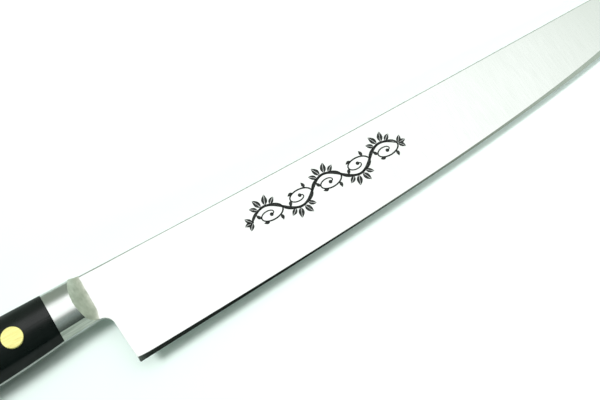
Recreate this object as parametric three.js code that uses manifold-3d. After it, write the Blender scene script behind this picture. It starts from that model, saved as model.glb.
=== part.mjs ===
// A long slicing knife (sujihiki) with a Western handle: a forged blade with a full tang, two welded bolster
// halves, two black handle scales and three two-piece brass rivets.
//
// Millimetres, +Z up. The knife lies on its left side: +X runs from the butt to the tip, +Y from the cutting
// edge to the spine, and +Z out of the blade's right face. While the pieces are made, x = 0 and y = 0 are the
// heel of the cutting edge and z = 0 is the middle of the steel. The finished group is moved so that its origin
// is the middle of the bottom of its box.

import * as THREE from 'three';
import { mergeVertices } from 'three/addons/utils/BufferGeometryUtils.js';
import Module from 'manifold-3d';

const wasm = await Module();
wasm.setup();

// Blade outline
const BLADE_LENGTH = 270; // heel to tip
const HEEL_HEIGHT = 38.35; // cutting edge to spine at the heel
const TIP_HEIGHT = 27; // tip above the level of the heel
const SPINE_CURVE_LENGTH = 36; // last stretch of the spine, which falls to the tip
const SPINE_CURVE_PULL = 17; // how far behind the tip that curve's corner lies
const EDGE_FLAT_LENGTH = 79; // reach of the nearly straight edge at the heel
const EDGE_FLAT_RISE = 3.5; // rise of the edge over that reach
const EDGE_SWEEP_LENGTH = 36; // how far behind the tip the edge's up-sweep gathers
const EDGE_SWEEP_RISE = 8.2; // height of the edge where it does

// Blade section
const STOCK_THICKNESS = 2.3; // the steel at the heel's spine, the neck and the tang
const SHOULDER_THICKNESS = 0.4; // the steel just above the sharpened bevels
const RIGHT_BEVEL_HEEL = 1.7; // width of the right bevel at the heel
const RIGHT_BEVEL_PULL = 0.1; // width that the bevel is drawn towards in between
const RIGHT_BEVEL_TIP = 3.4; // its width at the tip
const LEFT_BEVEL_SHARE = 0.43; // a 70 to 30 edge: the left bevel is this much of the right one

// Heel and neck
const HEEL_RAKE = 1.1; // how far back the heel's rear edge leans at the top
const CHOIL_RADIUS = 4; // round between the heel's rear edge and the neck
const NECK_LENGTH = 4.3; // heel to the front of the bolster
const NECK_RISE = 1; // how much higher the neck's underside is than the handle's at its front

// Bolster
const RAMP_LENGTH = 5; // hollow front of the bolster, down to the blade
const RAMP_LIP = 0.3; // thickness of the bolster's front edge on the blade
const RAMP_HOLLOW = 0.6; // how far the ramp dips below a straight slope
const BOLSTER_LENGTH = 10; // polished body behind the ramp
const BOLSTER_FRONT_FLANK = 6.3; // half thickness at the ramp's top
const CROWN_RISE = 0.2; // how far the bolster and handle stand above the spine

// Handle
const HANDLE_LENGTH = 112.3; // scale front to butt
const HANDLE_FRONT_HEIGHT = 18.55;
const HANDLE_FRONT_FLANK = 6.8; // half thickness at the front
const HANDLE_REAR_FLANK = 9.9; // half thickness towards the butt, before its sides are flattened
const HANDLE_SIDE_FLAT = 9.3; // half thickness across the flattened sides
const BACK_HUMP = 0.6; // rise of the back in the middle third of the handle
const BACK_FALL = 3.85; // butt's top below the spine
const BELLY_SWELL = 4.7; // fall of the belly behind the front
const BELLY_WAIST = 3; // fall of the belly towards the waist
const BELLY_FLARE = 9; // fall of the belly at the butt
const BUTT_RADIUS = 7; // round of the butt's corners, seen from the side
const BUTT_EASE = 2.4; // how much each side draws in at the butt
const SECTION_SQUARENESS = 2.1; // 2 is an ellipse, more is fuller

// Rivets
const RIVET_NAMES = ['front', 'middle', 'rear'];
const FIRST_RIVET = 14.85; // scale front to the first rivet
const RIVET_SPACING = 40.5;
const RIVET_HEAD_DIAMETER = 8;
const RIVET_HEAD_THICKNESS = 3;
const SOCKET_DIAMETER = 5; // outside of the hollow half's tube
const PIN_DIAMETER = 3.2; // shank of the solid half
const SOCKET_FLOOR = 1.2; // metal left at the blind end of the hollow half
const RIVET_CLEARANCE = 0.1; // gap round each rivet diameter
const RIVET_END_GAP = 0.4; // gap at the end of each shank

// Fineness of the facets
const ROUND_SEGMENTS = 24;
const CURVE_SEGMENTS = 16;
const EDGE_STATIONS = 40;
const HANDLE_STATIONS = 20;
const BUTT_STATIONS = 8;
const RAMP_STATIONS = 6;
const SECTION_SEGMENTS = 18;
const OVERRUN = 3; // how far a cutting solid reaches past what it cuts
const WELD_DISTANCE = 1e-4; // corners closer than this are one corner

// Places along the knife
const halfStock = STOCK_THICKNESS / 2;
const rampFrontX = -NECK_LENGTH;
const arrisX = rampFrontX - RAMP_LENGTH;
const scaleFrontX = arrisX - BOLSTER_LENGTH;
const buttX = scaleFrontX - HANDLE_LENGTH;
const crownY = HEEL_HEIGHT + CROWN_RISE;
const frontBellyY = crownY - HANDLE_FRONT_HEIGHT;
const neckBellyY = frontBellyY + NECK_RISE;
const choilX = -HEEL_RAKE - CHOIL_RADIUS;
const choilY = neckBellyY - CHOIL_RADIUS;

const steel = new THREE.MeshStandardMaterial({ color: 0xdfe3df, metalness: 1, roughness: 0.3 });
const polishedSteel = new THREE.MeshStandardMaterial({ color: 0xd9deda, metalness: 1, roughness: 0.08 });
const blackWood = new THREE.MeshStandardMaterial({ color: 0x1d2120, metalness: 0, roughness: 0.4 });
const brass = new THREE.MeshStandardMaterial({ color: 0xf0dc8c, metalness: 1, roughness: 0.25 });

// A closed three.js geometry as a manifold solid.
function solidOf(geometry) {
  const bare = geometry.clone();
  bare.deleteAttribute('normal');
  bare.deleteAttribute('uv');
  const merged = mergeVertices(bare, WELD_DISTANCE);
  return new wasm.Manifold(
    new wasm.Mesh({
      numProp: 3,
      vertProperties: merged.attributes.position.array,
      triVerts: new Uint32Array(merged.index.array),
    }),
  );
}

function geometryOf(solid) {
  const mesh = solid.getMesh();
  const geometry = new THREE.BufferGeometry();
  geometry.setAttribute('position', new THREE.BufferAttribute(mesh.vertProperties, 3));
  geometry.setIndex(new THREE.BufferAttribute(mesh.triVerts, 1));
  geometry.computeVertexNormals();
  return geometry;
}

// Skins a row of closed rings of points, all with the same number of points, and closes both ends with a fan.
// Each ring runs counterclockwise seen from the side that the row of rings comes towards.
function loft(rings) {
  const count = rings[0].length;
  const positions = rings.flat().flatMap((point) => [point.x, point.y, point.z]);
  const index = [];
  for (let ring = 0; ring + 1 < rings.length; ring += 1) {
    for (let point = 0; point < count; point += 1) {
      const next = (point + 1) % count;
      const [a, b] = [ring * count + point, ring * count + next];
      index.push(a, b, b + count, a, b + count, a + count);
    }
  }
  const last = (rings.length - 1) * count;
  for (let point = 1; point + 1 < count; point += 1) {
    index.push(0, point + 1, point);
    index.push(last, last + point, last + point + 1);
  }
  const geometry = new THREE.BufferGeometry();
  geometry.setAttribute('position', new THREE.Float32BufferAttribute(positions, 3));
  geometry.setIndex(index);
  return geometry;
}

// A round bar along Z between two heights.
function bar(diameter, fromZ, toZ, x, y) {
  const length = Math.abs(toZ - fromZ);
  const geometry = new THREE.CylinderGeometry(diameter / 2, diameter / 2, length, ROUND_SEGMENTS);
  geometry.rotateX(Math.PI / 2);
  geometry.translate(x, y, (fromZ + toZ) / 2);
  return solidOf(geometry);
}

// Blade outline

const edgeCurve = new THREE.CubicBezierCurve(
  new THREE.Vector2(0, 0),
  new THREE.Vector2(EDGE_FLAT_LENGTH, EDGE_FLAT_RISE),
  new THREE.Vector2(BLADE_LENGTH - EDGE_SWEEP_LENGTH, EDGE_SWEEP_RISE),
  new THREE.Vector2(BLADE_LENGTH, TIP_HEIGHT),
);

// The neck's underside: a straight rise from the handle, then the round of the choil.
function neckBelly(x) {
  if (x > choilX) {
    const along = Math.min(x - choilX, CHOIL_RADIUS);
    return choilY + Math.sqrt(CHOIL_RADIUS ** 2 - along ** 2);
  }
  return THREE.MathUtils.mapLinear(x, scaleFrontX, choilX, frontBellyY, neckBellyY);
}

// The neck's upper side: level over the bolster, then down to the spine above the heel.
function neckTop(x) {
  return x < arrisX ? crownY : THREE.MathUtils.mapLinear(x, arrisX, 0, crownY, HEEL_HEIGHT);
}

// Handle outline and section

function cubic(heights, share) {
  const [a, b, c, d] = heights;
  const rest = 1 - share;
  return a * rest ** 3 + 3 * b * rest ** 2 * share + 3 * c * rest * share ** 2 + d * share ** 3;
}

// How much of the butt's round has been used up at x: 0 ahead of it and 1 at the butt's end.
function buttRound(x) {
  const into = Math.max(0, buttX + BUTT_RADIUS - x);
  return 1 - Math.sqrt(Math.max(0, 1 - (into / BUTT_RADIUS) ** 2));
}

function handleAt(x) {
  const share = (scaleFrontX - x) / HANDLE_LENGTH;
  const round = buttRound(x);
  const back = [crownY, crownY + BACK_HUMP, crownY + BACK_HUMP, HEEL_HEIGHT - BACK_FALL];
  const belly = [0, BELLY_SWELL, BELLY_WAIST, BELLY_FLARE].map((fall) => frontBellyY - fall);
  const flank = [HANDLE_FRONT_FLANK, HANDLE_REAR_FLANK, HANDLE_REAR_FLANK, HANDLE_REAR_FLANK];
  return {
    top: cubic(back, share) - BUTT_RADIUS * round,
    belly: cubic(belly, share) + BUTT_RADIUS * round,
    flank: cubic(flank, share) - BUTT_EASE * round,
    sideFlat: HANDLE_SIDE_FLAT - BUTT_EASE * round,
  };
}

const handleStations = [
  ...Array.from({ length: HANDLE_STATIONS }, (_, i) =>
    scaleFrontX - ((HANDLE_LENGTH - BUTT_RADIUS) * i) / HANDLE_STATIONS),
  ...Array.from({ length: BUTT_STATIONS + 1 }, (_, i) =>
    buttX + BUTT_RADIUS * (1 - Math.sin((Math.PI / 2) * (i / BUTT_STATIONS)))),
];

// Half of an oval section on one side of the steel, from its top round the flank to its belly.
// The flat of the steel closes it. Its points run counterclockwise seen from the tip.
function halfOval(x, { top, belly, flank, sideFlat = Infinity }, side) {
  const middle = (top + belly) / 2;
  const power = 2 / SECTION_SQUARENESS;
  const points = Array.from({ length: SECTION_SEGMENTS + 1 }, (_, i) => {
    const angle = (Math.PI * i) / SECTION_SEGMENTS;
    const across = Math.sign(Math.cos(angle)) * Math.abs(Math.cos(angle)) ** power;
    const out = halfStock + (flank - halfStock) * Math.sin(angle) ** power;
    const y = i === 0 ? top : i === SECTION_SEGMENTS ? belly : middle + ((top - belly) / 2) * across;
    const z = i % SECTION_SEGMENTS === 0 ? halfStock : Math.min(out, sideFlat);
    return new THREE.Vector3(x, y, side * z);
  });
  return side > 0 ? points : points.reverse();
}

function scaleBlock(side) {
  const rings = handleStations.map((x) => halfOval(x, handleAt(x), side));
  return solidOf(loft(rings.reverse()));
}

// Rivets

const rivets = RIVET_NAMES.map((name, i) => {
  const x = scaleFrontX - FIRST_RIVET - RIVET_SPACING * i;
  const { top, belly, flank, sideFlat } = handleAt(x);
  return { name, x, y: (top + belly) / 2, seat: Math.min(flank, sideFlat) - RIVET_HEAD_THICKNESS };
});
const headHole = RIVET_HEAD_DIAMETER + 2 * RIVET_CLEARANCE;
const shankHole = SOCKET_DIAMETER + 2 * RIVET_CLEARANCE;
const pinHole = PIN_DIAMETER + 2 * RIVET_CLEARANCE;
const pastFlank = HANDLE_REAR_FLANK + OVERRUN;

// The head of a rivet on one side, ground flush with its scale.
function rivetHead({ x, y, seat }, side) {
  return bar(RIVET_HEAD_DIAMETER, side * seat, side * pastFlank, x, y).intersect(scaleBlock(side));
}

// The solid half, with its head on the right and its pin in the hollow half.
function rivetPin(rivet) {
  const { x, y, seat } = rivet;
  const tip = -seat + SOCKET_FLOOR + RIVET_END_GAP;
  return rivetHead(rivet, 1).add(bar(PIN_DIAMETER, tip, seat + RIVET_HEAD_THICKNESS / 2, x, y));
}

// The hollow half, with its head on the left and its tube through both scales and the tang.
function rivetSocket(rivet) {
  const { x, y, seat } = rivet;
  const mouth = seat - RIVET_END_GAP;
  const tube = bar(SOCKET_DIAMETER, -seat - RIVET_HEAD_THICKNESS / 2, mouth, x, y);
  return rivetHead(rivet, -1).add(tube).subtract(bar(pinHole, -seat + SOCKET_FLOOR, mouth + OVERRUN, x, y));
}

// A handle scale with a stepped hole for each rivet.
function scale(side) {
  let solid = scaleBlock(side);
  for (const { x, y, seat } of rivets) {
    solid = solid.subtract(bar(shankHole, -pastFlank, pastFlank, x, y));
    solid = solid.subtract(bar(headHole, side * seat, side * pastFlank, x, y));
  }
  return geometryOf(solid);
}

// Bolster

// A bolster half: an oval body as thick as the handle's front, then a hollow ramp down to the blade.
function bolster(side) {
  const body = [
    { x: scaleFrontX, flank: HANDLE_FRONT_FLANK },
    { x: arrisX, flank: BOLSTER_FRONT_FLANK },
  ];
  const lip = halfStock + RAMP_LIP;
  const ramp = Array.from({ length: RAMP_STATIONS }, (_, i) => {
    const share = (i + 1) / RAMP_STATIONS;
    const straight = THREE.MathUtils.lerp(BOLSTER_FRONT_FLANK, lip, share);
    return { x: arrisX + RAMP_LENGTH * share, flank: straight - 4 * RAMP_HOLLOW * share * (1 - share) };
  });
  const rings = [...body, ...ramp].map(({ x, flank }) =>
    halfOval(x, { top: neckTop(x), belly: neckBelly(x), flank }, side));
  return loft(rings);
}

// Blade

// The outline of blade and tang in side view. It runs on past the edge and the tip, where the grind ends it.
function bladeOutline() {
  const spineCurve = new THREE.QuadraticBezierCurve(
    new THREE.Vector2(BLADE_LENGTH, TIP_HEIGHT),
    new THREE.Vector2(BLADE_LENGTH - SPINE_CURVE_PULL, HEEL_HEIGHT),
    new THREE.Vector2(BLADE_LENGTH - SPINE_CURVE_LENGTH, HEEL_HEIGHT),
  );
  const pastTip = spineCurve.getTangent(0).multiplyScalar(-OVERRUN).add(spineCurve.getPoint(0));
  const outline = new THREE.Shape();
  outline.moveTo((HEEL_RAKE * OVERRUN) / choilY, -OVERRUN);
  outline.lineTo(pastTip.x, -OVERRUN);
  outline.lineTo(pastTip.x, pastTip.y);
  spineCurve.getPoints(CURVE_SEGMENTS).forEach((point) => outline.lineTo(point.x, point.y));
  outline.lineTo(0, HEEL_HEIGHT);
  outline.lineTo(arrisX, crownY);
  handleStations.forEach((x) => outline.lineTo(x, handleAt(x).top));
  [...handleStations].reverse().forEach((x) => outline.lineTo(x, handleAt(x).belly));
  outline.lineTo(choilX, neckBellyY);
  outline.absarc(choilX, choilY, CHOIL_RADIUS, Math.PI / 2, 0, true);
  for (const { x, y } of rivets) {
    outline.holes.push(new THREE.Path().absarc(x, y, shankHole / 2, 0, 2 * Math.PI, true));
  }
  return outline;
}

// The width of the right bevel at x: it narrows from the heel and widens again towards the tip.
function rightBevel(x) {
  const share = THREE.MathUtils.clamp(x / BLADE_LENGTH, 0, 1);
  return cubic([RIGHT_BEVEL_HEEL, RIGHT_BEVEL_PULL, RIGHT_BEVEL_PULL, RIGHT_BEVEL_TIP], share);
}

// The steel's section across x: two flat flanks that taper from the spine, and a sharpened bevel on each side.
// Without taper it is the plain stock of the neck and tang.
function steelSection(x, edgeY, tapered) {
  const right = rightBevel(x);
  const left = right * LEFT_BEVEL_SHARE;
  const halfShoulder = SHOULDER_THICKNESS / 2;
  const slope = (halfStock - halfShoulder) / (HEEL_HEIGHT - RIGHT_BEVEL_HEEL);
  const topY = crownY + BACK_HUMP + OVERRUN;
  const half = (y) => (tapered ? halfShoulder + slope * (y - edgeY - right) : halfStock);
  return [
    new THREE.Vector3(x, topY, half(HEEL_HEIGHT)),
    new THREE.Vector3(x, HEEL_HEIGHT, half(HEEL_HEIGHT)),
    new THREE.Vector3(x, edgeY + right, half(edgeY + right)),
    new THREE.Vector3(x, edgeY, halfShoulder - (SHOULDER_THICKNESS * right) / (right + left)),
    new THREE.Vector3(x, edgeY + left, -half(edgeY + left)),
    new THREE.Vector3(x, HEEL_HEIGHT, -half(HEEL_HEIGHT)),
    new THREE.Vector3(x, topY, -half(HEEL_HEIGHT)),
  ];
}

// The blade with its full tang: the outline, ground to the steel's section.
function blade() {
  const depth = STOCK_THICKNESS + 2 * OVERRUN;
  const outline = new THREE.ExtrudeGeometry(bladeOutline(), {
    depth,
    bevelEnabled: false,
    curveSegments: CURVE_SEGMENTS,
  });
  outline.translate(0, 0, -depth / 2);
  const heelSlope = EDGE_FLAT_RISE / EDGE_FLAT_LENGTH;
  const tipSlope = (TIP_HEIGHT - EDGE_SWEEP_RISE) / EDGE_SWEEP_LENGTH;
  const sections = [
    steelSection(buttX - OVERRUN, 0, false),
    steelSection(rampFrontX, rampFrontX * heelSlope, false),
    ...edgeCurve.getPoints(EDGE_STATIONS).map(({ x, y }) => steelSection(x, y, true)),
    steelSection(BLADE_LENGTH + OVERRUN, TIP_HEIGHT + OVERRUN * tipSlope, true),
  ];
  return geometryOf(solidOf(outline).intersect(solidOf(loft(sections))));
}

// Assembly

const knife = new THREE.Group();

function place(name, geometry, material) {
  const mesh = new THREE.Mesh(geometry, material);
  mesh.name = name;
  knife.add(mesh);
}

place('blade_and_tang', blade(), steel);
place('bolster_right', bolster(1), polishedSteel);
place('bolster_left', bolster(-1), polishedSteel);
place('scale_right', scale(1), blackWood);
place('scale_left', scale(-1), blackWood);
for (const rivet of rivets) {
  place(`${rivet.name}_rivet_pin`, geometryOf(rivetPin(rivet)), brass);
  place(`${rivet.name}_rivet_socket`, geometryOf(rivetSocket(rivet)), brass);
}

const box = new THREE.Box3().setFromObject(knife);
const centre = box.getCenter(new THREE.Vector3());
knife.position.set(-centre.x, -centre.y, -box.min.z);

export default knife;
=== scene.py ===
"""A long slicing knife (sujihiki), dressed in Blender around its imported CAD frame.

The CAD solids fix where everything is. Each visible piece is made again here at full fineness on
nearly the same outline: the ground blade with its full tang, two bolster halves, two handle scales
and six rivet halves, with an etched vine on the blade's right face. Until a piece is placed, sizes
are in millimetres from the heel of the cutting edge, with +x to the tip, +y to the spine and +z
out of the blade's right face.
"""

from __future__ import annotations

import logging
import math
from dataclasses import dataclass, field
from enum import Enum, IntEnum, auto
from functools import cached_property
from typing import Any, Callable, Sequence, Union

import bmesh
import bpy
import numpy as np
from mathutils import Matrix, Vector

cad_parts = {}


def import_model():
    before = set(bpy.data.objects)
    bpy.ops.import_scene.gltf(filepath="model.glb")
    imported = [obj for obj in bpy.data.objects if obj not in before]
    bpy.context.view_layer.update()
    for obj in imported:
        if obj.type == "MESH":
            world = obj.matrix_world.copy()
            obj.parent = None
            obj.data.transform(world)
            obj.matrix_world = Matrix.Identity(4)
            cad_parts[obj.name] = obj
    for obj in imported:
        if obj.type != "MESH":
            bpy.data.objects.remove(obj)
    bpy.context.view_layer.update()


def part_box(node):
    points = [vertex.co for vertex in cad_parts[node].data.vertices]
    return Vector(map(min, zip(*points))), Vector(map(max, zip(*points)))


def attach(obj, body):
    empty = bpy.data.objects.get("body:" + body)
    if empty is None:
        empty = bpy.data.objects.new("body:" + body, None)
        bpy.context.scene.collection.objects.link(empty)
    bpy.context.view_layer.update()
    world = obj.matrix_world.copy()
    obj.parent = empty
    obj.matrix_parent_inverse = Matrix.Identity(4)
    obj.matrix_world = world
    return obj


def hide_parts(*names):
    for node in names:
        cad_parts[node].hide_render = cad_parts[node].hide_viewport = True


LOG = logging.getLogger("slicing_knife")

MM = 0.001  # one millimetre in metres
BODY = "root"
CRISP_ANGLE = math.radians(32)  # faces that meet more sharply than this keep a crisp corner
WELD = 1e-4  # corners closer than this, in millimetres, are one corner


class Side(IntEnum):
    """The side of the steel that a piece lies on, as the sign of its z."""

    RIGHT = 1
    LEFT = -1


class BladeSlot(IntEnum):
    """The order of the blade's finishes in its material slots."""

    FLANK = 0
    BEVEL = 1
    EDGE = 2
    POLISHED = 3


class BolsterSlot(IntEnum):
    """The order of a bolster half's finishes in its material slots."""

    POLISHED = 0
    RAMP = 1
    BELLY = 2


class Measure(Enum):
    """What tells one direction in the room from another, as seen from the knife."""

    ALONG = auto()
    AWAY = auto()
    TILT = auto()
    POINTED = auto()


HeightRule = Callable[[np.ndarray, np.ndarray], np.ndarray]
Ring = tuple[float, Union[float, HeightRule]]


def linear(hex_colour: str) -> tuple[float, float, float, float]:
    """Turns an sRGB hex colour into linear RGBA.

    Args:
        hex_colour: A colour such as "#C8CDC9".

    Returns:
        The linear red, green, blue and an alpha of 1.
    """
    values = [int(hex_colour[i : i + 2], 16) / 255 for i in (1, 3, 5)]
    red, green, blue = (
        v / 12.92 if v <= 0.04045 else ((v + 0.055) / 1.055) ** 2.4 for v in values
    )
    return red, green, blue, 1.0


def per_metre(size: float) -> float:
    """How many patches of a pattern, each of a size in millimetres, lie along a metre."""
    return 1 / (size * MM)


def add_node(
    tree: bpy.types.NodeTree,
    kind: str,
    settings: dict[str, Any] | None = None,
    inputs: dict[str | int, Any] | None = None,
) -> bpy.types.Node:
    """Adds one node with its settings, values and links.

    Args:
        tree: The node tree that takes the node.
        kind: Blender's name of the node type.
        settings: Properties of the node.
        inputs: Values or output sockets for the node's inputs, by name or number.

    Returns:
        The new node.
    """
    node = tree.nodes.new(kind)
    for key, value in (settings or {}).items():
        setattr(node, key, value)
    for key, value in (inputs or {}).items():
        if isinstance(value, bpy.types.NodeSocket):
            tree.links.new(value, node.inputs[key])
        else:
            node.inputs[key].default_value = value
    return node


def new_material(
    name: str,
) -> tuple[bpy.types.Material, bpy.types.NodeTree, bpy.types.Node]:
    """Starts a material.

    Args:
        name: The material's name.

    Returns:
        The material, its node tree and its shader.
    """
    made = bpy.data.materials.new(name)
    made.use_nodes = True
    return made, made.node_tree, made.node_tree.nodes["Principled BSDF"]


def add_object(name: str, data: bpy.types.ID) -> bpy.types.Object:
    """Puts an object into the scene.

    Args:
        name: The object's name.
        data: Its mesh, light or camera.

    Returns:
        The new object.
    """
    thing = bpy.data.objects.new(name, data)
    bpy.context.scene.collection.objects.link(thing)
    return thing


def bezier(points: Sequence[tuple[float, float]], share: np.ndarray) -> np.ndarray:
    """Points along a Bezier curve, by de Casteljau's rule.

    Args:
        points: The curve's control points.
        share: How far along each wanted point lies, from 0 to 1.

    Returns:
        One row of coordinates for each share.
    """
    level = [np.tile(np.asarray(p, float), (len(share), 1)) for p in points]
    weight = share[:, None]
    while len(level) > 1:
        level = [a * (1 - weight) + b * weight for a, b in zip(level, level[1:])]
    return level[0]


def smooth(value: np.ndarray, low: float, high: float) -> np.ndarray:
    """An eased step from 0 at low to 1 at high."""
    share = np.clip((value - low) / (high - low), 0.0, 1.0)
    return share * share * (3 - 2 * share)


def eased_minimum(value: np.ndarray, limit: np.ndarray, blend: float = 0.12) -> np.ndarray:
    """The smaller of two heights, with a crease that is soft over the blend where they cross."""
    share = np.clip(0.5 + 0.5 * (limit - value) / blend, 0, 1)
    return limit * (1 - share) + value * share - blend * share * (1 - share)


@dataclass(frozen=True)
class KnifeShape:
    """The outline and sections that all the pieces share."""

    # The blade's outline.
    blade_length: float = 270.0
    heel_height: float = 38.35
    tip_height: float = 27.0
    spine_curve_length: float = 36.0  # last stretch of the spine, which falls to the tip
    spine_curve_pull: float = 17.0  # how far behind the tip that curve's corner lies
    # How far the spine's control points, from the heel to that stretch, lie over the heel's height.
    spine_lifts: tuple[float, float, float, float] = (0.4, -0.85, -0.15, 0.45)
    edge_flat_length: float = 79.0  # reach of the nearly straight edge at the heel
    edge_flat_rise: float = 3.5
    edge_sweep_length: float = 36.0  # how far behind the tip the edge's up-sweep gathers
    edge_sweep_rise: float = 8.2

    # The blade's section.
    stock: float = 2.3
    shoulder: float = 0.36  # the steel just above the sharpened bevels
    heel_shoulder: float = 0.6
    shoulder_fade: int = 6  # the power by which the heel's shoulder turns into the plain one
    bevel_heel: float = 1.6
    bevel_middle: float = 0.1  # width that the bevel is drawn towards in between
    bevel_tip: float = 3.4
    bevel_flare: float = 0.45  # extra width right at the heel
    flare_length: float = 2.5
    left_bevel_share: float = 0.43

    # The heel, the neck and the bolster.
    heel_rake: float = 1.1  # how far back the heel's rear edge leans at the top
    choil_radius: float = 4.0  # round between the heel's rear edge and the neck
    neck_length: float = 4.3  # heel to the front of the bolster
    neck_rise: float = 0.75  # how much higher the neck's underside is than the handle's front
    neck_lift: float = 0.45  # how far the neck's top stands over the heel's height
    neck_ease: float = 2.0  # stretch in which the bolster's back rises to the neck's top
    neck_fall: float = 3.0  # stretch in which the neck's top falls to the spine
    ramp_length: float = 5.0
    bolster_length: float = 10.0
    crown_rise: float = 0.2  # how far the bolster's and handle's back stands over the heel's height

    # The handle.
    handle_length: float = 112.3
    handle_front_height: float = 18.55
    handle_front_flank: float = 6.8
    handle_rear_flank: float = 9.9
    handle_side_flat: float = 9.3  # half thickness across the flattened sides
    back_hump: float = -0.15  # rise of the back's control points in the middle of the handle
    back_fall: float = 3.85  # butt's top below the heel's height
    belly_swell: float = 4.7  # fall of the belly's control points behind the front,
    belly_waist: float = 3.0  # towards the waist
    belly_flare: float = 9.0  # and at the butt
    butt_radius: float = 7.0  # round of the butt's corners, seen from the side
    butt_ease: float = 2.4  # how much each side draws in at the butt
    back_stretch: float = 1.12  # how far the section's ellipse would reach past the cut-off back
    back_blend: float = 0.05  # softness of the crease along the cut-off back
    back_crown: float = 0.02  # slight roundness of the back
    facet_height: float = 2.3  # height of the flat ground along the belly
    scale_lean: float = 0.3  # how much sooner a scale draws in below its widest place, in radians

    curve_samples: int = 2001

    @property
    def half_stock(self) -> float:
        """Half the thickness of the plain steel."""
        return self.stock / 2

    @property
    def ramp_front(self) -> float:
        """Where the bolster's ramp meets the blade."""
        return -self.neck_length

    @property
    def arris(self) -> float:
        """Where the bolster's polished body meets its ramp."""
        return self.ramp_front - self.ramp_length

    @property
    def scale_front(self) -> float:
        """Where the scales meet the bolster."""
        return self.arris - self.bolster_length

    @property
    def butt(self) -> float:
        """The rear end of the handle."""
        return self.scale_front - self.handle_length

    @property
    def crown(self) -> float:
        """Height of the bolster's and handle's back at the front."""
        return self.heel_height + self.crown_rise

    @property
    def front_belly(self) -> float:
        """Height of the handle's belly at its front."""
        return self.crown - self.handle_front_height

    @property
    def neck_belly(self) -> float:
        """Height of the neck's underside at the choil."""
        return self.front_belly + self.neck_rise

    @property
    def choil_x(self) -> float:
        """The middle of the choil's round, along the knife."""
        return -self.heel_rake - self.choil_radius

    @property
    def choil_y(self) -> float:
        """The middle of the choil's round, across the knife."""
        return self.neck_belly - self.choil_radius

    @cached_property
    def edge_curve(self) -> np.ndarray:
        """Traces the cutting edge.

        Returns:
            Points from the heel to the tip.
        """
        points = [
            (0.0, 0.0),
            (self.edge_flat_length, self.edge_flat_rise),
            (self.blade_length - self.edge_sweep_length, self.edge_sweep_rise),
            (self.blade_length, self.tip_height),
        ]
        return bezier(points, np.linspace(0, 1, self.curve_samples))

    @cached_property
    def spine_curve(self) -> np.ndarray:
        """Traces the spine: a barely hollow stretch, then the fall to the tip.

        Returns:
            Points from over the heel to the tip.
        """
        turn = self.blade_length - self.spine_curve_length
        share = np.linspace(0, 1, self.curve_samples)
        heights = [self.heel_height + lift for lift in self.spine_lifts]
        controls = [(turn * step / 3, height) for step, height in enumerate(heights)]
        last = [
            (turn, heights[-1]),
            (self.blade_length - self.spine_curve_pull, heights[-1]),
            (self.blade_length, self.tip_height),
        ]
        return np.concatenate([bezier(controls, share)[:-1], bezier(last, share)])

    def edge(self, x: np.ndarray) -> np.ndarray:
        """Height of the cutting edge at x, carried on behind the heel."""
        behind = x * self.edge_flat_rise / self.edge_flat_length
        return np.where(x < 0, behind, np.interp(x, self.edge_curve[:, 0], self.edge_curve[:, 1]))

    def handle(self, x: np.ndarray) -> tuple[np.ndarray, np.ndarray, np.ndarray, np.ndarray]:
        """The handle's outline and thickness at x.

        Args:
            x: Places along the handle.

        Returns:
            The height of its back, the height of its belly, its half thickness before the sides are
            flattened, and the half thickness across the flats.
        """
        share = np.clip((self.scale_front - x) / self.handle_length, 0, 1)
        into = np.clip((self.butt + self.butt_radius - x) / self.butt_radius, 0, 1)
        drawn_in = 1 - np.sqrt(1 - into**2)
        rest = 1 - share
        weights = np.stack([rest**3, 3 * rest**2 * share, 3 * rest * share**2, share**3], -1)
        hump, rear = self.crown + self.back_hump, self.handle_rear_flank
        backs = np.array([self.crown, hump, hump, self.heel_height - self.back_fall])
        falls = np.array([0, self.belly_swell, self.belly_waist, self.belly_flare])
        flanks = np.array([self.handle_front_flank, rear, rear, rear])
        top = weights @ backs - self.butt_radius * drawn_in
        belly = self.front_belly - weights @ falls + self.butt_radius * drawn_in
        flank = weights @ flanks - self.butt_ease * drawn_in
        return top, belly, flank, self.handle_side_flat - self.butt_ease * drawn_in

    def lower(self, x: np.ndarray) -> np.ndarray:
        """The steel's lower outline: tang, neck, choil, heel's rear edge and cutting edge.

        Args:
            x: Places along the knife.

        Returns:
            The outline's height at each place.
        """
        along = np.clip(x - self.choil_x, 0, self.choil_radius)
        choil = self.choil_y + np.sqrt(self.choil_radius**2 - along**2)
        rear_edge = self.choil_y * -x / self.heel_rake
        stops = [self.scale_front, self.choil_x]
        neck = np.interp(x, stops, [self.front_belly, self.neck_belly])
        places = [x < self.scale_front, x < self.choil_x, x < -self.heel_rake, x < 0]
        return np.select(places, [self.handle(x)[1], neck, choil, rear_edge], self.edge(x))

    def upper(self, x: np.ndarray) -> np.ndarray:
        """The steel's upper outline: tang, bolster, neck and spine.

        Args:
            x: Places along the knife.

        Returns:
            The outline's height at each place.
        """
        high = self.heel_height + self.neck_lift
        stops = [self.arris, self.arris + self.neck_ease, -self.neck_fall, 0]
        heights = [self.crown, high, high, self.heel_height + self.spine_lifts[0]]
        neck = np.interp(x, stops, heights)
        spine = np.interp(x, self.spine_curve[:, 0], self.spine_curve[:, 1])
        return np.select([x < self.scale_front, x < 0], [self.handle(x)[0], neck], spine)

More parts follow.
